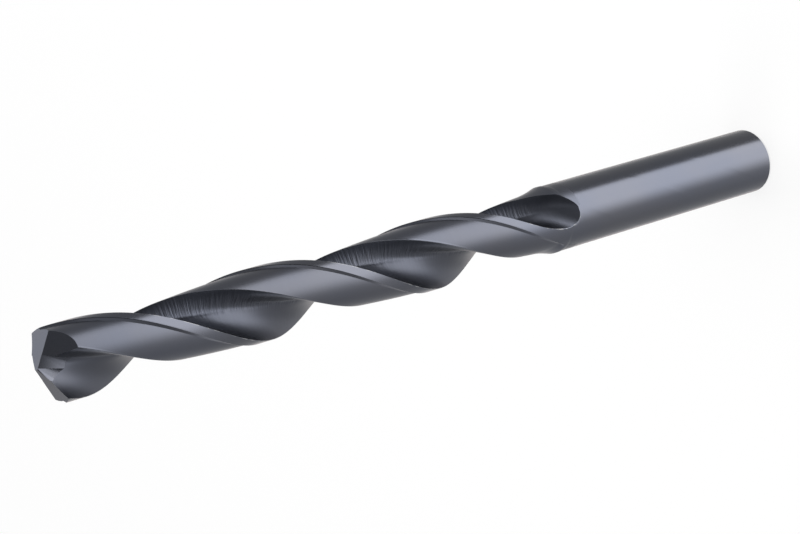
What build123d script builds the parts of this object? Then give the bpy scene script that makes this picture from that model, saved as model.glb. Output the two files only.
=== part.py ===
from build123d import *
from math import asin, atan2, cos, degrees, pi, radians, sin, sqrt, tan
import os

# ---------------------------------------------------------------- sizes (mm)
# A right-hand jobber twist drill standing on its shank end.
# Z runs up the drill's own axis, z = 0 is the flat end of the shank.
drill_diameter = 10.0          # across the margins
overall_length = 133.0         # shank end to chisel edge
shank_diameter = 9.85          # the plain part is ground a little under size
shank_chamfer = 0.3            # on the shank end
back_taper = 0.03              # how much smaller the body is at its shank end than at full flute depth
flute_length = 91.4            # chisel edge to the far end of the scooped run-out
flute_runout = 12.0            # length over which the wheel lifts out of the flute
scoop_spread = 0.25            # how much wider the round wheel cuts as it leaves
helix_angle = 27.5             # at the outside diameter, degrees
web_thickness = 2.4            # core left between the two flutes
land_angle = 83.0              # one land, leading edge to heel, degrees
heel_lean = 28.0               # how far the flute wall leans back at the heel, degrees
lip_hollow = 0.23              # how far the rake face is dished between web and margin
margin_angle = 15.5            # the full-size strip behind the leading edge, degrees
clearance_step = 0.33          # drop from the margin to the relieved land
clearance_width = 4.0          # width of the slope from the margin down to that land, degrees
clearance_heel = 0.92          # drop at the heel edge
clearance_length = 89.4        # chisel edge to the far end of the relief, at the margin
clearance_runout = 1.6         # length over which the relief runs out beside the margin
clearance_skew = 4.0           # how much longer its run-out is at the heel
point_angle = 135.0            # included angle of the two lips, degrees
lip_relief = 18.0              # fall of the first flank facet behind the lip, degrees
heel_relief = 49.0             # fall of the second, steeper flank facet, degrees
heel_turn = 13.0               # direction of that fall, from square to the lip, degrees
heel_start = 0.3               # the second facet passes this far above the chisel edge
notch_gap = 0.32               # from the axis to the root of the thinning notch
notch_turn = 31.0              # direction of the notch's back wall from the lip, degrees
notch_wall = 2.0               # length of that wall at the point
notch_wall_end = 0.7           # and where the notch has run out into the flute
notch_side = 56.0              # direction of the notch's side beyond it, degrees
notch_face = 1.9               # length of the notch along the opposite lip
notch_lean = 20.0              # how far the notch leans from the axis, degrees
notch_swing = 15.0             # which way it leans, from along the lip, degrees
notch_depth = 9.5             # along the axis

# ------------------------------------------------------- worked out from these
body_radius = drill_diameter / 2
shank_radius = shank_diameter / 2
web_half = web_thickness / 2
pitch = pi * drill_diameter / tan(radians(helix_angle))
lip_slope = 1 / tan(radians(point_angle / 2))
lip_reach = sqrt(body_radius ** 2 - web_half ** 2)
corner_z = overall_length - body_radius * lip_slope
flute_end_z = overall_length - flute_length
flute_full_z = flute_end_z + flute_runout
flute_lift = body_radius - web_half
runout_steps = 10
clearance_end_z = overall_length - clearance_length
above_z = overall_length + 1.0
heel_angle = 180 - land_angle
heel_radius = body_radius - clearance_heel
step_radius = body_radius - clearance_step
scoop_direction = heel_angle * 0.6


def polar(r, angle):
    return (r * cos(radians(angle)), r * sin(radians(angle)))


def level(z, turn):
    """A plane square to the axis whose X looks along a leading edge; a lip lies along X."""
    direction = polar(1, (z - corner_z) * 360 / pitch + turn)
    return Plane(origin=(0, 0, z), x_dir=(*direction, 0), z_dir=(0, 0, 1))


# The rake side of a flute follows the curve that leaves a nearly straight lip.
rake_side = []
for step in range(9):
    reach = lip_reach * (1 - step / 8)
    r = sqrt(reach ** 2 + web_half ** 2)
    hollow = lip_hollow * 4 * (reach / lip_reach) * (1 - reach / lip_reach)
    curl = degrees((lip_reach - reach) * lip_slope * 2 * pi / pitch + hollow / r)
    rake_side.append(polar(r, degrees(atan2(web_half, reach) - asin(web_half / body_radius)) - curl))
web_point = rake_side[-1]
along_web = polar(1, degrees(atan2(web_point[1], web_point[0])) + 90)
heel_point = polar(heel_radius, heel_angle)
heel_slope = polar(1, heel_angle + heel_lean)
heel_out = (heel_point[0] + body_radius / 2 * heel_slope[0], heel_point[1] + body_radius / 2 * heel_slope[1])
flute_corners = (heel_out, (body_radius * 1.25, body_radius * 1.25), (body_radius * 1.36, 0))
rake_start = degrees(atan2(rake_side[1][1] - rake_side[0][1], rake_side[1][0] - rake_side[0][0]))


def relief(angle, z):
    """A point of the ground strip behind a margin, which rises out of the land near its end."""
    across = (angle - margin_angle) / (land_angle - margin_angle)
    r = step_radius - (step_radius - heel_radius) * across ** 1.5
    runout = clearance_runout + clearance_skew * across
    rise = min(1.3, max(0, 1 - (z - clearance_end_z) / runout))
    return polar(r + (body_radius + 0.25 - r) * rise ** 1.6, -angle)


def relief_floor(z):
    first = margin_angle + clearance_width
    return [relief(first + (land_angle - first) * step / 7, z) for step in range(8)]


def turned(points, angle):
    return [polar(sqrt(x * x + y * y), degrees(atan2(y, x)) + angle) for x, y in points]


def moved(points, way):
    """Points of the flute's outline as the round wheel leaves: way runs from 0 to 1."""
    out = []
    for x, y in turned(points, -scoop_direction):
        out.append((x + flute_lift * way ** 2.2, y * (1 + scoop_spread * way ** 2)))
    return turned(out, scoop_direction)


def flank(slope_along, slope_back, rise, turn):
    """A plane over the chisel edge falling along the lip and away behind it."""
    along = Vector(cos(radians(turn)), sin(radians(turn)), 0)
    ahead = Vector(-sin(radians(turn)), cos(radians(turn)), 0)
    return Plane(origin=(0, 0, overall_length + rise),
                 z_dir=along * slope_along - ahead * slope_back + Vector(0, 0, 1))


with BuildPart() as twist_drill:
    # The ground bar up to full flute depth: plain shank, then a hair larger body.
    with BuildSketch(Plane.XZ):
        with BuildLine():
            Polyline(
                (0, 0), (shank_radius - shank_chamfer, 0), (shank_radius, shank_chamfer),
                (shank_radius, clearance_end_z - 0.2), (body_radius - back_taper / 2, clearance_end_z + 0.2),
                (body_radius, flute_full_z), (0, flute_full_z), close=True,
            )
        make_face()
    revolve(axis=Axis.Z)

    for turn in (0, 180):
        # The relief behind a margin rises out of the land at its end.
        for step in range(runout_steps + 1):
            z = clearance_end_z - 0.3 + (flute_full_z - clearance_end_z + 0.3) * (1 - step / runout_steps) ** 1.6
            floor = relief_floor(z)
            with BuildSketch(level(z, turn)):
                with BuildLine():
                    strip = Spline(*floor)
                    Polyline(
                        strip @ 1, relief(land_angle + 18, z), polar(body_radius + 3, -land_angle - 18),
                        polar(body_radius + 4.5, -land_angle / 2), polar(body_radius + 3, -margin_angle),
                        polar(Vector(*floor[0]).length + clearance_step * 0.75, -margin_angle), strip @ 0,
                    )
                make_face()
        loft(mode=Mode.SUBTRACT)

        # The wheel that cuts a flute lifts out of it, leaving a scoop.
        for step in range(runout_steps + 1):
            way = step / runout_steps
            with BuildSketch(level(flute_full_z - flute_runout * way, turn)):
                with BuildLine():
                    rake = Spline(*moved(rake_side, way), tangents=(polar(1, rake_start), along_web))
                    heel = Spline(*moved((web_point, heel_point), way), tangents=(along_web, heel_slope))
                    Polyline(heel @ 1, *moved(flute_corners, way), rake @ 0)
                make_face()
        loft(mode=Mode.SUBTRACT)

    # The fluted body: one section of two lands on the web, twisted up to the point.
    with BuildLine(mode=Mode.PRIVATE) as drill_axis:
        Line((0, 0, flute_full_z), (0, 0, above_z))
    with BuildLine(mode=Mode.PRIVATE) as drill_turn:
        Helix(pitch=pitch, height=above_z - flute_full_z, radius=body_radius,
              center=(0, 0, flute_full_z))
    with BuildSketch(level(flute_full_z, 0)):
        with BuildLine():
            for turn in (0, 180):
                floor = turned(relief_floor(flute_full_z), turn)
                rake = turned(rake_side, turn)
                web_slope = turned([along_web], turn)[0]
                heel = polar(heel_radius, heel_angle + turn)
                Spline(*floor)
                Polyline(floor[0], polar(Vector(*floor[0]).length + clearance_step * 0.75, turn - margin_angle),
                         polar(body_radius, turn - margin_angle))
                ThreePointArc(polar(body_radius, turn - margin_angle), polar(body_radius, turn - margin_angle / 2),
                              polar(body_radius, turn))
                Spline(*rake, tangents=(polar(1, rake_start + turn), web_slope))
                Spline(rake[-1], heel, tangents=(web_slope, polar(1, heel_angle + heel_lean + turn)))
        make_face()
    sweep(path=drill_axis.edge(), binormal=drill_turn.edge())

    # The point: two flank facets behind each lip, then the web is thinned by a notch.
    for turn in (0, 180):
        split(bisect_by=flank(lip_slope, tan(radians(lip_relief)), 0, turn), keep=Keep.BOTTOM)
        fall = tan(radians(heel_relief))
        split(bisect_by=flank(-fall * sin(radians(heel_turn)), fall * cos(radians(heel_turn)), heel_start, turn),
              keep=Keep.BOTTOM)
    for turn in (0, 180):
        for z, wall in ((above_z, notch_wall), (overall_length - notch_depth, notch_wall_end)):
            drift = polar((z - overall_length) * tan(radians(notch_lean)), notch_swing)
            root = Vector(drift[0], drift[1] - notch_gap)
            back = root + Vector(*polar(wall, -notch_turn))
            side = back + Vector(*polar(body_radius, notch_side - 180))
            face = root - Vector(notch_face, 0)
            with BuildSketch(Plane(origin=(0, 0, z), x_dir=(*polar(1, turn), 0), z_dir=(0, 0, 1))):
                with BuildLine():
                    Polyline(root, back, side, face - Vector(2, body_radius), face, close=True)
                make_face()
        loft(ruled=True, mode=Mode.SUBTRACT)

twist_drill.part.label = "twist_drill"
os.makedirs("parts", exist_ok=True)
export_step(twist_drill.part, "parts/twist_drill.step")
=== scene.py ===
from math import asin, atan2, cos, degrees, hypot, pi, radians, sin, sqrt, tan

import bmesh
import bpy
from mathutils import Matrix, Vector


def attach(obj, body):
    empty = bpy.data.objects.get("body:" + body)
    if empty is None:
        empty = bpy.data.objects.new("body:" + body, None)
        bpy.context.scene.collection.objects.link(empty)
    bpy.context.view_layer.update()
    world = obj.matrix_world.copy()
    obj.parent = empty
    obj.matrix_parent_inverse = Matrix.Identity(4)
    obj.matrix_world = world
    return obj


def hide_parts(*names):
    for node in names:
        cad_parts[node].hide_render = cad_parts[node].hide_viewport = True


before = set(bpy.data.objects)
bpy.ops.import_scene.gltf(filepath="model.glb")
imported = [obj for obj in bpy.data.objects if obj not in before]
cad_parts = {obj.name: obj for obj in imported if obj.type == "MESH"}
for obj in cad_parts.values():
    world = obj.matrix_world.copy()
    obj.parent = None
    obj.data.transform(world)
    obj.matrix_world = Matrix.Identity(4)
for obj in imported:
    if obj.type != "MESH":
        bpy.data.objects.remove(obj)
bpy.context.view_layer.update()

# ------------------------------------------------------------ the drill blank
# One bar of high-speed steel, ground round, with two flutes milled into it that
# run out in scoops by the shank. Sizes are in millimetres, angles in degrees.
MM = 0.001
drill_diameter = 10.0
overall_length = 133.0
shank_diameter = 9.85
shank_chamfer = 0.3
back_taper = 0.03
flute_length = 91.4
flute_runout = 12.0
scoop_spread = 0.25
helix_angle = 27.5
web_thickness = 2.4
land_angle = 83.0
heel_lean = 28.0
lip_hollow = 0.23
margin_angle = 15.5
clearance_step = 0.33
clearance_width = 4.0
clearance_heel = 0.92
clearance_length = 89.4
clearance_runout = 1.6
clearance_skew = 4.0
point_angle = 135.0

body_radius = drill_diameter / 2
shank_radius = shank_diameter / 2
web_half = web_thickness / 2
pitch = pi * drill_diameter / tan(radians(helix_angle))
lip_slope = 1 / tan(radians(point_angle / 2))
lip_reach = sqrt(body_radius ** 2 - web_half ** 2)
corner_z = overall_length - body_radius * lip_slope
flute_end_z = overall_length - flute_length
flute_full_z = flute_end_z + flute_runout
flute_lift = body_radius - web_half
clearance_end_z = overall_length - clearance_length
heel_angle = 180 - land_angle
heel_radius = body_radius - clearance_heel
step_radius = body_radius - clearance_step
scoop_direction = heel_angle * 0.6
blank_top = overall_length + 1.0
neck_half = 0.2
land_curve, runout_curve, scoop_curve = 1.5, 1.6, 2.2
shoulder = clearance_step * 0.75
relief_overrun = 0.25
heel_side = 70
scoop_slack, zone_slack = 0.5, 0.3


def polar(r, angle):
    return (r * cos(radians(angle)), r * sin(radians(angle)))


def turned(points, angle):
    c, s = cos(radians(angle)), sin(radians(angle))
    return [(x * c - y * s, x * s + y * c) for x, y in points]


def bar_radius(z):
    """The ground bar before the flutes: the shank, then the body with its back taper."""
    if z < shank_chamfer:
        return shank_radius - shank_chamfer + z
    if z < clearance_end_z - neck_half:
        return shank_radius
    if z < clearance_end_z + neck_half:
        rise = (z - clearance_end_z + neck_half) / (2 * neck_half)
        return shank_radius + rise * (body_radius - back_taper / 2 - shank_radius)
    rise = min(1, (z - clearance_end_z) / (flute_full_z - clearance_end_z))
    return body_radius - back_taper / 2 * (1 - rise)


def land_radius(behind, z):
    """The relieved land at an angle behind the leading edge."""
    across = (behind - margin_angle) / (land_angle - margin_angle)
    r = step_radius - (step_radius - heel_radius) * max(across, 0) ** land_curve
    runout = clearance_runout + clearance_skew * max(across, 0)
    rise = min(1.3, max(0, 1 - (z - clearance_end_z) / runout))
    return min(r + (body_radius + relief_overrun - r) * rise ** runout_curve, bar_radius(z))


# The wheel's outline: the rake face that leaves a straight lip, the web, the heel wall, and
# a short straight run on past the heel.
outline_steps = 60
run_on_steps, run_on_step = 12, 0.2
wheel_outline = []
for step in range(outline_steps + 1):
    reach = lip_reach * (1 - step / outline_steps)
    r = hypot(reach, web_half)
    hollow = lip_hollow * 4 * (reach / lip_reach) * (1 - reach / lip_reach)
    curl = degrees((lip_reach - reach) * lip_slope * 2 * pi / pitch + hollow / r)
    wheel_outline.append(polar(r, degrees(atan2(web_half, reach) - asin(web_half / body_radius)) - curl))
web_point = Vector(wheel_outline[-1])
along_web = Vector(polar(1, degrees(atan2(web_point.y, web_point.x)) + 90))
heel_point = Vector(polar(heel_radius, heel_angle))
heel_slope = Vector(polar(1, heel_angle + heel_lean))
chord = (heel_point - web_point).length
for step in range(1, outline_steps + 1):
    t = step / outline_steps
    point = (web_point * (2 * t ** 3 - 3 * t ** 2 + 1) + along_web * chord * (t ** 3 - 2 * t ** 2 + t)
             + heel_point * (3 * t ** 2 - 2 * t ** 3) + heel_slope * chord * (t ** 3 - t ** 2))
    wheel_outline.append(tuple(point))
for step in range(1, run_on_steps + 1):
    wheel_outline.append(tuple(heel_point + heel_slope * step * run_on_step))


def flute_at(z):
    """The flute's outline at height z, cut off where it leaves the bar, and its two edge angles."""
    way = min(1, max(0, (flute_full_z - z) / flute_runout))
    curve = []
    for x, y in turned(wheel_outline, -scoop_direction):
        curve.append((x + flute_lift * way ** scoop_curve, y * (1 + scoop_spread * way ** 2)))
    curve = turned(curve, scoop_direction)
    gap = []
    for x, y in curve:
        angle = degrees(atan2(y, x))
        gap.append(hypot(x, y) - (land_radius(180 - angle, z) if angle > heel_side else bar_radius(z)))
    if way == 0:
        gap[0] = 0
    inside = [i for i, g in enumerate(gap) if g < -1e-9]
    if not inside or z < flute_end_z - scoop_slack:
        return None
    first, last = inside[0], inside[-1]

    def crossing(i, j):
        share = gap[i] / (gap[i] - gap[j])
        return tuple(Vector(curve[i]).lerp(Vector(curve[j]), share))
    return [crossing(first - 1, first)] + curve[first:last + 1] + [crossing(last + 1, last)]


def along(curve, places):
    """Points at the given lengths along a polyline."""
    marks = [0]
    for a, b in zip(curve, curve[1:]):
        marks.append(marks[-1] + hypot(b[0] - a[0], b[1] - a[1]))
    out, k = [], 0
    for share, trim in places:
        goal = min(max(share * marks[-1] + trim * min(1, marks[-1]), 0), marks[-1])
        while k < len(curve) - 2 and marks[k + 1] < goal:
            k += 1
        span = marks[k + 1] - marks[k]
        t = (goal - marks[k]) / span if span > 0 else 0
        out.append((curve[k][0] + t * (curve[k + 1][0] - curve[k][0]),
                    curve[k][1] + t * (curve[k + 1][1] - curve[k][1])))
    return out


# Columns of one half, from the heel round to the leading edge and down into the flute.
# Every face is marked with its zone of the finish. All flute columns meet in one point
# where the scoop has run out.
facet_zone, land_zone, step_zone, margin_zone, flute_zone, edge_zone, shank_zone = range(7)
land_columns, margin_columns, flute_columns = 24, 10, 68
broken_edge = 0.045
zones = ([edge_zone] + [land_zone] * (land_columns - 1) + [step_zone] * 2
         + [margin_zone] * (margin_columns - 2) + [edge_zone] + [flute_zone] * (flute_columns - 1))
flute_places = [(step / (flute_columns - 1), 0) for step in range(flute_columns)]
flute_places[0] = (0, broken_edge)
flute_places[-1] = (1, -broken_edge)
scoop_tip_angle = 68.0


def half_ring(z):
    """One half of the section at height z: land, step, margin and flute, point by point."""
    curve = flute_at(z)
    if curve is None:
        lead, heel = scoop_tip_angle, scoop_tip_angle - 180
        flute = [polar(bar_radius(z), scoop_tip_angle)] * flute_columns
        edge = 0
    else:
        lead = degrees(atan2(curve[0][1], curve[0][0]))
        heel = degrees(atan2(curve[-1][1], curve[-1][0])) - 180
        flute = along(curve, flute_places)
        edge = degrees(broken_edge / body_radius)
    ring = []
    for step in range(land_columns):
        share = step / (land_columns - 1)
        behind = -heel - edge + (margin_angle + clearance_width + heel + edge) * share
        ring.append(polar(land_radius(behind, z), -behind))
    floor = land_radius(margin_angle + clearance_width, z)
    ring.append(polar(min(floor + shoulder, bar_radius(z)), -margin_angle))
    for step in range(margin_columns):
        share = step / (margin_columns - 1)
        ring.append(polar(bar_radius(z), -margin_angle + (lead - edge + margin_angle) * share))
    return ring + flute


# Rows up the bar: wide apart on the shank, close where the scoops and the relief begin,
# and even again up the flutes.
shank_row, scoop_tip_row, scoop_row, flute_row = 0.6, 0.05, 0.16, 0.5
shank_rows, scoop_tip_rows, scoop_rows = 68, 40, 66
scoop_tip_z, relief_z = 41.2, 43.2
heights = [0, shank_chamfer] + [shank_row * step for step in range(1, shank_rows + 1)]
heights += [scoop_tip_z + scoop_tip_row * step for step in range(scoop_tip_rows)]
heights += [relief_z + scoop_row * step for step in range(scoop_rows)]
while heights[-1] < blank_top - flute_row:
    heights.append(heights[-1] + flute_row)
heights.append(blank_top)

# The rings are joined into a straight-fluted bar. The heel edges carry half the mark of
# rubbed steel and painted edge highlight, and the cutting edges all of it.
heel_wear_and_glint, lip_wear_and_glint = 0.5, 1
blank = bmesh.new()
zone_mark = blank.faces.layers.float.new("zone")
edge_mark = blank.verts.layers.float.new("edge")
rings = []
for z in heights:
    half = half_ring(z)
    marks = [0] * len(half)
    if z > flute_end_z:
        marks[0] = heel_wear_and_glint
        marks[land_columns + margin_columns] = marks[land_columns + margin_columns + 1] = lip_wear_and_glint
    ring = []
    for (x, y), mark in zip(half + turned(half, 180), marks * 2):
        vert = blank.verts.new((x * MM, y * MM, z * MM))
        vert[edge_mark] = mark
        ring.append(vert)
    rings.append(ring)
count = len(rings[0])
for low, high, z in zip(rings, rings[1:], heights):
    for column in range(count):
        after = (column + 1) % count
        face = blank.faces.new((low[column], low[after], high[after], high[column]))
        face[zone_mark] = zones[column % len(zones)] if z > flute_end_z - zone_slack else shank_zone
blank.faces.new(reversed(rings[0]))
blank.faces.new(rings[-1])
bmesh.ops.remove_doubles(blank, verts=blank.verts, dist=1e-7)
bmesh.ops.dissolve_degenerate(blank, edges=blank.edges, dist=1e-7)
blank_mesh = bpy.data.meshes.new("twist_drill_blank")
blank.to_mesh(blank_mesh)
blank.free()
drill = bpy.data.objects.new("twist_drill_steel", blank_mesh)
bpy.context.scene.collection.objects.link(drill)


# ---------------------------------------------------------------- the helix
# The flutes wind round the bar at one steady pitch, so the straight-fluted blank
# is turned about its axis in step with its height.
class Sheet:
    """A node tree being laid out. One method adds any node, with its settings and inputs."""

    def __init__(self, tree):
        self.tree = tree
        tree.nodes.clear()

    def add(self, kind, settings=None, values=None, out=0):
        node = self.tree.nodes.new(kind)
        for name, value in (settings or {}).items():
            setattr(node, name, value)
        for key, value in (values or {}).items():
            self.feed(node.inputs[key], value)
        return Signal(self, node.outputs[out]) if node.outputs else node

    def feed(self, socket, value):
        if isinstance(value, Signal):
            self.tree.links.new(value.socket, socket)
        else:
            socket.default_value = value

    def blend(self, share, first, second):
        """A colour that goes from the first to the second as the share rises to 1."""
        return self.add("ShaderNodeMix", {"data_type": "RGBA"},
                        {"Factor": share, 6: first, 7: second}, out=2)

    def vector(self, operation, *values, out=0):
        """A Vector Math node, with its inputs in order."""
        return self.add("ShaderNodeVectorMath", {"operation": operation}, dict(enumerate(values)), out)


class Signal:
    """A socket that takes part in Python sums."""

    def __init__(self, sheet, socket):
        self.sheet, self.socket = sheet, socket

    def maths(self, operation, *values):
        return self.sheet.add("ShaderNodeMath", {"operation": operation}, dict(enumerate(values)))

    def port(self, name):
        return Signal(self.sheet, self.socket.node.outputs[name])

    def __add__(self, other):
        return self.maths("ADD", self, other)

    def __radd__(self, other):
        return self.maths("ADD", other, self)

    def __sub__(self, other):
        return self.maths("SUBTRACT", self, other)

    def __rsub__(self, other):
        return self.maths("SUBTRACT", other, self)

    def __mul__(self, other):
        return self.maths("MULTIPLY", self, other)

    def __rmul__(self, other):
        return self.maths("MULTIPLY", other, self)

    def __truediv__(self, other):
        return self.maths("DIVIDE", self, other)

    def between(self, start, end):
        """Rises smoothly from 0 to 1 as this goes from start to end."""
        return self.sheet.add("ShaderNodeMapRange", {"interpolation_type": "SMOOTHSTEP"},
                              {0: self, 1: start, 2: end})

    def equals(self, value):
        """1 where this is that whole number, and 0 elsewhere."""
        return self.maths("COMPARE", self, value, 0.4)

    def size(self):
        """Its distance from zero."""
        return self.maths("ABSOLUTE", self)


steel = bpy.data.materials.new("black_oxide_high_speed_steel")
steel.use_nodes = True
helix_tree = bpy.data.node_groups.new("wind_the_flutes", "GeometryNodeTree")
helix = Sheet(helix_tree)
face_of_tree = helix_tree.interface
face_of_tree.new_socket("Geometry", in_out="OUTPUT", socket_type="NodeSocketGeometry")
face_of_tree.new_socket("Geometry", in_out="INPUT", socket_type="NodeSocketGeometry")
helix_sizes = {"Pitch": pitch * MM, "Height of the lip corners": corner_z * MM}
for name in helix_sizes:
    face_of_tree.new_socket(name, in_out="INPUT", socket_type="NodeSocketFloat")
face_of_tree.new_socket("Steel", in_out="INPUT", socket_type="NodeSocketMaterial")
given = helix.add("NodeGroupInput")
place = helix.add("GeometryNodeInputPosition")
height = helix.add("ShaderNodeSeparateXYZ", None, {0: place}).port("Z")
turn = (height - given.port("Height of the lip corners")) / given.port("Pitch") * (2 * pi)
wound = helix.add("ShaderNodeVectorRotate", {"rotation_type": "Z_AXIS"}, {"Vector": place, "Angle": turn})
body = helix.add("GeometryNodeSetPosition", None, {"Geometry": given.port("Geometry"), "Position": wound})
smooth = helix.add("GeometryNodeSetShadeSmooth", None, {0: body})
real = helix.add("GeometryNodeRealizeInstances", None, {0: smooth})
finished = helix.add("GeometryNodeSetMaterial", None, {"Geometry": real, "Material": given.port("Steel")})
helix.add("NodeGroupOutput", None, {0: finished})

winding = drill.modifiers.new("wind the flutes", "NODES")
winding.node_group = helix_tree
for socket in face_of_tree.items_tree:
    if socket.in_out == "INPUT" and socket.name in helix_sizes:
        winding[socket.identifier] = helix_sizes[socket.name]
    elif socket.in_out == "INPUT" and socket.name == "Steel":
        winding[socket.identifier] = steel


def made_plain(thing):
    """Turns what the modifiers give into the object's own mesh."""
    bpy.context.view_layer.update()
    ready = thing.evaluated_get(bpy.context.evaluated_depsgraph_get())
    mesh = bpy.data.meshes.new_from_object(ready)
    thing.modifiers.clear()
    thing.data = mesh


made_plain(drill)

# ---------------------------------------------------------------- the point
# Each lip has two flank facets ground behind it, and a notch on each side thins
# the web so that the lips meet in a short chisel edge.
lip_relief = 18.0
heel_relief = 49.0
heel_turn = 13.0
heel_start = 0.3
notch_gap = 0.32
notch_turn = 31.0
notch_wall = 2.0
notch_wall_end = 0.7
notch_side = 56.0
notch_face = 1.9
notch_lean = 20.0
notch_swing = 15.0
notch_depth = 9.5

point = bmesh.new()
point.from_mesh(drill.data)
fall = tan(radians(heel_relief))
for side in (0, 180):
    lip = Vector((*polar(1, side), 0))
    ahead = Vector((*polar(1, side + 90), 0))
    facets = (
        (0, lip * lip_slope - ahead * tan(radians(lip_relief))),
        (heel_start, -lip * fall * sin(radians(heel_turn)) - ahead * fall * cos(radians(heel_turn))),
    )
    for rise, slope in facets:
        everything = point.verts[:] + point.edges[:] + point.faces[:]
        cut = bmesh.ops.bisect_plane(point, geom=everything, dist=1e-8, clear_outer=True,
                                     plane_co=(0, 0, (overall_length + rise) * MM),
                                     plane_no=(slope + Vector((0, 0, 1))).normalized())
        rim = [item for item in cut["geom_cut"] if isinstance(item, bmesh.types.BMEdge)]
        filled = bmesh.ops.holes_fill(point, edges=rim, sides=0)
        for facet in filled["faces"]:
            facet[point.faces.layers.float["zone"]] = facet_zone
point.to_mesh(drill.data)
point.free()

# The corner of a thin wheel cuts the notches: a leaning block with five sides for each.
notch = bmesh.new()
for side in (0, 180):
    corners = []
    for z, wall in ((overall_length - notch_depth, notch_wall_end), (blank_top, notch_wall)):
        drift = polar((z - overall_length) * tan(radians(notch_lean)), notch_swing)
        root = Vector((drift[0], drift[1] - notch_gap))
        back = root + Vector(polar(wall, -notch_turn))
        outer = back + Vector(polar(body_radius, notch_side - 180))
        front = root - Vector((notch_face, 0))
        outline = (root, back, outer, front - Vector((2, body_radius)), front)
        corners.append([notch.verts.new((x * MM, y * MM, z * MM))
                        for x, y in turned([tuple(c) for c in outline], side)])
    for i in range(5):
        j = (i + 1) % 5
        notch.faces.new((corners[0][i], corners[0][j], corners[1][j], corners[1][i]))
    notch.faces.new(corners[1])
    notch.faces.new(reversed(corners[0]))
bmesh.ops.recalc_face_normals(notch, faces=notch.faces)
notch_mesh = bpy.data.meshes.new("notch_wheel")
notch.to_mesh(notch_mesh)
notch.free()
notch_wheel = bpy.data.objects.new("notch_wheel", notch_mesh)
bpy.context.scene.collection.objects.link(notch_wheel)
thinning = drill.modifiers.new("thin the web", "BOOLEAN")
thinning.operation = "DIFFERENCE"
thinning.solver = "EXACT"
thinning.object = notch_wheel
made_plain(drill)
bpy.data.objects.remove(notch_wheel)
crisp_edge = 24.0
curved = [mark.value != facet_zone for mark in drill.data.attributes["zone"].data]
drill.data.polygons.foreach_set("use_smooth", curved)
drill.data.set_sharp_from_angle(angle=radians(crisp_edge))
drill.data.materials.clear()
drill.data.materials.append(steel)

# --------------------------------------------------- the steam-oxide finish
# A thin blue-black oxide, grown in steam over ground steel. The wheels' fine lines show
# through it, most on the heel walls. In the flutes, and most by the heels, its colour is
# darkened as painted shade, and along the cutting edges it is brightened, partly as rubbed
# steel and partly as a painted edge highlight.
oxide_blue = (0.112, 0.120, 0.148, 1)
oxide_grey = (0.123, 0.127, 0.148, 1)
# Painted shade for the flutes and heel walls, which also gives the grinding lines their darker tone.
flute_shade_and_line_tone = (0.055, 0.060, 0.077, 1)
# Rubbed steel along the edges, which also serves as a painted edge highlight.
rubbed_steel_and_glint = (0.36, 0.36, 0.37, 1)

oxide = Sheet(steel.node_tree)
spot = oxide.add("ShaderNodeTexCoord", out="Object")
height = oxide.add("ShaderNodeSeparateXYZ", None, {0: spot}).port("Z")
zone = oxide.add("ShaderNodeAttribute", {"attribute_name": "zone"}, out="Fac")
edge = oxide.add("ShaderNodeAttribute", {"attribute_name": "edge"}, out="Fac")
in_flute = zone.equals(flute_zone)
on_land = zone.equals(land_zone) + zone.equals(step_zone)

# Unwinding the helix lays each flute straight, so that its walls can be told apart by
# how far they stand from the axis in X and in Y, in metres.
unwound = oxide.add("ShaderNodeVectorRotate", {"rotation_type": "Z_AXIS"},
                    {"Vector": spot, "Angle": (corner_z * MM - height) * (2 * pi / (pitch * MM))})
flute_x = oxide.add("ShaderNodeSeparateXYZ", None, {0: unwound}).port("X")
flute_y = flute_x.port("Y")
heel_wall = in_flute * (1 - flute_x.size().between(0.0004, 0.0011))
# The part of the heel wall nearest the heel, where the most painted shade goes.
heel_shade_zone = heel_wall * flute_y.size().between(0.0021, 0.0038)
behind_tip = 1 - height.between(0.112, 0.118)


def grain(vector, scale, detail=2.0, rough=0.5):
    """Noise whose cells are stretched by the three scales, in cells for each metre."""
    return oxide.add("ShaderNodeTexNoise", None, {"Vector": oxide.vector("MULTIPLY", vector, scale),
                                                  "Scale": 1.0, "Detail": detail, "Roughness": rough})


ground_lines = grain(spot, (350, 350, 9000), 3.0, 0.6)
flute_lines = grain(unwound, (220, 220, 3400), 2.0, 0.6)
patches = grain(unwound, (180, 180, 90))
cloud = grain(spot, (120, 120, 60), 3.0)
nicks = grain(spot, (900, 900, 900))

# The lines show most on the heel walls, in patches, and they fade out before the point.
lined = (heel_wall * 0.85 + in_flute * 0.15 - heel_shade_zone * 0.55) * patches.between(0.15, 0.4) * behind_tip
# Rubbed steel and painted edge highlight along the marked edges, broken into nicks.
rubbed_and_glint = edge.between(0.3, 1.0) * nicks.between(0.42, 0.62)

even_oxide = oxide.blend(cloud.between(0.3, 0.7), oxide_blue, oxide_grey)
in_the_lines = lined * flute_lines.between(0.62, 0.42)
# Painted shade: the colour is darkened in the flutes, more by the heels, and a little in the grinding
# lines.
oxide_with_painted_shade = oxide.blend(in_flute * 0.47 + heel_shade_zone * 0.5 + in_the_lines * 0.2, even_oxide, flute_shade_and_line_tone)
steel_colour = oxide.blend(rubbed_and_glint * 0.8, oxide_with_painted_shade, rubbed_steel_and_glint)
dullness = 0.20 + ground_lines * 0.06 + in_flute * 0.12 + on_land * 0.12 + rubbed_and_glint * 0.12

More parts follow.
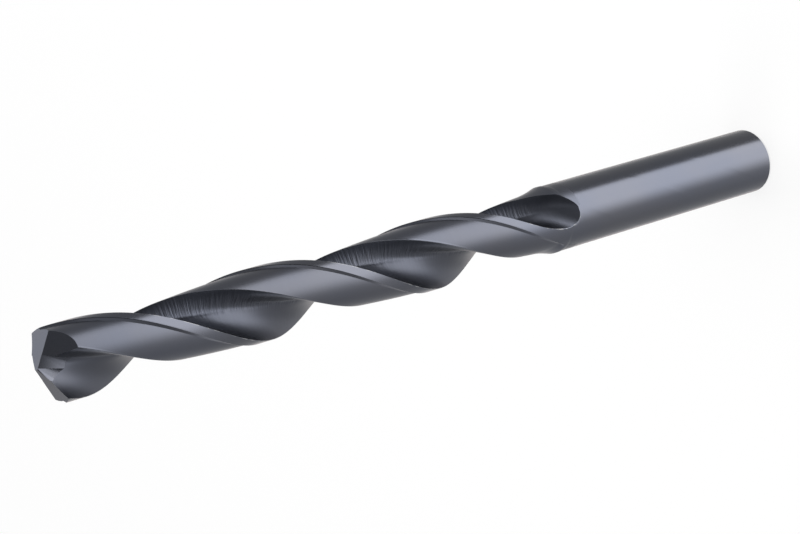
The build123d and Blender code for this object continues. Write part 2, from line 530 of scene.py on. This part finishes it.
# The lines lean the surface a little to one side and are about two hundredths of a
# millimetre deep. The rest of the drill has much fainter ones.
upright = oxide.add("ShaderNodeNewGeometry", out="Normal")
sideways = oxide.vector("CROSS_PRODUCT", upright, (0, 0, 1))
leaning = oxide.add("ShaderNodeVectorMath", {"operation": "SCALE"},
                    {0: sideways, "Scale": (flute_lines - 0.5) * lined * 0.4})
tilted = oxide.vector("ADD", upright, leaning)
line_depth = lined * flute_lines * 3.5 + (1 - in_flute) * ground_lines * 0.1
lines = oxide.add("ShaderNodeBump", None,
                  {"Strength": 1.0, "Distance": 0.00002, "Height": line_depth, "Normal": tilted},
                  out="Normal")
surface = oxide.add("ShaderNodeBsdfPrincipled", None,
                    {"Base Color": steel_colour, "Metallic": 1 - in_flute * 0.06, "Roughness": dullness,
                     "Normal": lines})
oxide.add("ShaderNodeOutputMaterial", None, {"Surface": surface})

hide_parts("twist_drill")
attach(drill, "root")

# ---------------------------------------------------------------- the floor
# A wide sheet of white paper that the drill stands on. Most of its white is its own, so it
# needs no extra light, and the rest keeps the drill's shadow. The steel's reflections pass
# through it to the room's own light.
half_width, sunk = 4, 0.00005
floor_mesh = bpy.data.meshes.new("studio_floor")
floor_mesh.from_pydata([(-half_width, -half_width, -sunk), (half_width, -half_width, -sunk),
                        (half_width, half_width, -sunk), (-half_width, half_width, -sunk)], [],
                       [(0, 1, 2, 3)])
floor = bpy.data.objects.new("studio_floor", floor_mesh)
bpy.context.scene.collection.objects.link(floor)
paper = bpy.data.materials.new("white_paper")
paper.use_nodes = True
page = Sheet(paper.node_tree)
rays = page.add("ShaderNodeLightPath", out="Is Camera Ray")
seen = rays.maths("MAXIMUM", rays, rays.port("Is Transmission Ray"))
lit = page.add("ShaderNodeBsdfDiffuse", None, {"Color": (0.92, 0.92, 0.92, 1)})
own_white = page.add("ShaderNodeEmission", None, {"Color": (1, 1, 1, 1), "Strength": 1.0})
mixed = page.add("ShaderNodeMixShader", None, {0: seen * 0.8, 1: lit, 2: own_white})
page.add("ShaderNodeOutputMaterial", None, {"Surface": mixed})
floor_mesh.materials.append(paper)
floor.visible_glossy = False

# ---------------------------------------------------------------- the room
# The camera sees a plain white room. The steel mirrors that white only behind the drill, and
# soft boxes and darker stretches elsewhere. Bearing is in degrees round the drill from the
# camera's side, to its right, and rise is in degrees above the level.
view_back = Vector((-0.3171062622, -0.7109172294, 0.6277263029))
toward = Vector((view_back.x, view_back.y, 0)).normalized()
across = Vector((-toward.y, toward.x, 0))
world = bpy.data.worlds.new("white_room")
bpy.context.scene.world = world
world.use_nodes = True
room = Sheet(world.node_tree)
way = room.add("ShaderNodeTexCoord", out="Generated")
ahead_part = room.vector("DOT_PRODUCT", way, toward, out="Value")
side_part = room.vector("DOT_PRODUCT", way, across, out="Value")
bearing = side_part.maths("ARCTAN2", side_part, ahead_part) * (180 / pi)
around = bearing.size()
upward = room.add("ShaderNodeSeparateXYZ", None, {0: way}).port("Z")
rise = upward.maths("ARCSINE", upward) * (180 / pi)

# Low down: a soft box to the camera's right, its glow round to the left, a dark stretch
# beyond it, the white behind the drill and a patch straight underneath.
low = rise.between(14, -38)
steep = rise.between(-57, -66)
box_height = rise.between(-1, -34) * (1 - steep)
box_end = 1 - bearing.between(57, 64)
soft_box = bearing.between(-48, 6) * box_end * box_height
glow = bearing.between(-100, -12) * box_end * box_height
dark_side = bearing.between(60, 68) * (1 - bearing.between(120, 150)) * low
behind = around.between(135, 178) * rise.between(14, -20)

# At the level and above it: the walls, lower on the camera's side, a tall box behind on the
# right and one on the left, a window by the camera, and the ceiling.
camera_side = rise.between(-17, -8) * (1 - around.between(95, 130))
walls = rise.between(-30, -14) * (1 - rise.between(12, 24)) * (1 - camera_side)
high_back = rise.between(-22, 0) * bearing.between(115, 140) * (1 - bearing.between(162, 174))
left_box = rise.between(-24, -4) * bearing.between(-146, -136) * (1 - bearing.between(-104, -92))
window = rise.between(10, 22) * (1 - rise.between(40, 50)) * (1 - around.between(20, 50))
ceiling = rise.between(60, 76) * (1 - around.between(100, 140))

level = 1.5 * (0.12 + low * 0.26 + steep * 0.2 + soft_box * 1.38 + glow * 0.32 + behind * 0.5
               + high_back * 0.8 + left_box * 0.7 + window * 0.22 + ceiling * 0.7
               + walls * 0.22 - dark_side * 0.09)
rays = room.add("ShaderNodeLightPath", out="Is Camera Ray")
seen = rays.maths("MAXIMUM", rays, rays.port("Is Transmission Ray"))
shown = seen.maths("MAXIMUM", seen, rays.port("Is Glossy Ray") * behind)
strength = shown + (1 - shown) * level
plain_white, warm_white = (1, 1, 1, 1), (1.0, 0.90, 0.86, 1)
tint = room.blend(behind * (1 - seen), plain_white, warm_white)
backdrop = room.add("ShaderNodeBackground", None, {"Color": tint, "Strength": strength})
room.add("ShaderNodeOutputWorld", None, {"Surface": backdrop})

# ---------------------------------------------------------------- the overhead lamp
# A round soft box hung over the drill, which casts its shadow on the paper. It is kept out
# of the steel's reflections.
overhead = bpy.data.lights.new("overhead_soft_box", "AREA")
overhead.shape = "DISK"
overhead.size = 0.8
overhead.energy = 6.0
overhead_box = bpy.data.objects.new("overhead_soft_box", overhead)
overhead_box.matrix_world = Matrix.Translation((0.1, -0.2, 0.9)) @ Matrix.Rotation(radians(-12), 4, "X")
overhead_box.visible_glossy = False
bpy.context.scene.collection.objects.link(overhead_box)

# ---------------------------------------------------------------- the camera
# Beside the drill and above it, with a long lens, and rolled so that the drill lies across
# the frame with its point low on the left.
view_right = Vector((-0.5041521057, -0.4342594137, -0.7464914038))
view_up = Vector((0.8032896569, -0.5531866362, -0.2207040387))
camera_place = Vector((-0.115096, -0.256699, 0.299594))
lens = bpy.data.cameras.new("camera")
lens.sensor_width = 36.0
lens.lens = 117.384
lens.clip_start = 0.01
lens.clip_end = 20
camera = bpy.data.objects.new("camera", lens)
camera.matrix_world = Matrix((
    (view_right.x, view_up.x, view_back.x, camera_place.x),
    (view_right.y, view_up.y, view_back.y, camera_place.y),
    (view_right.z, view_up.z, view_back.z, camera_place.z),
    (0, 0, 0, 1)))
bpy.context.scene.collection.objects.link(camera)
bpy.context.scene.camera = camera
bpy.context.scene.view_settings.view_transform = "Standard"
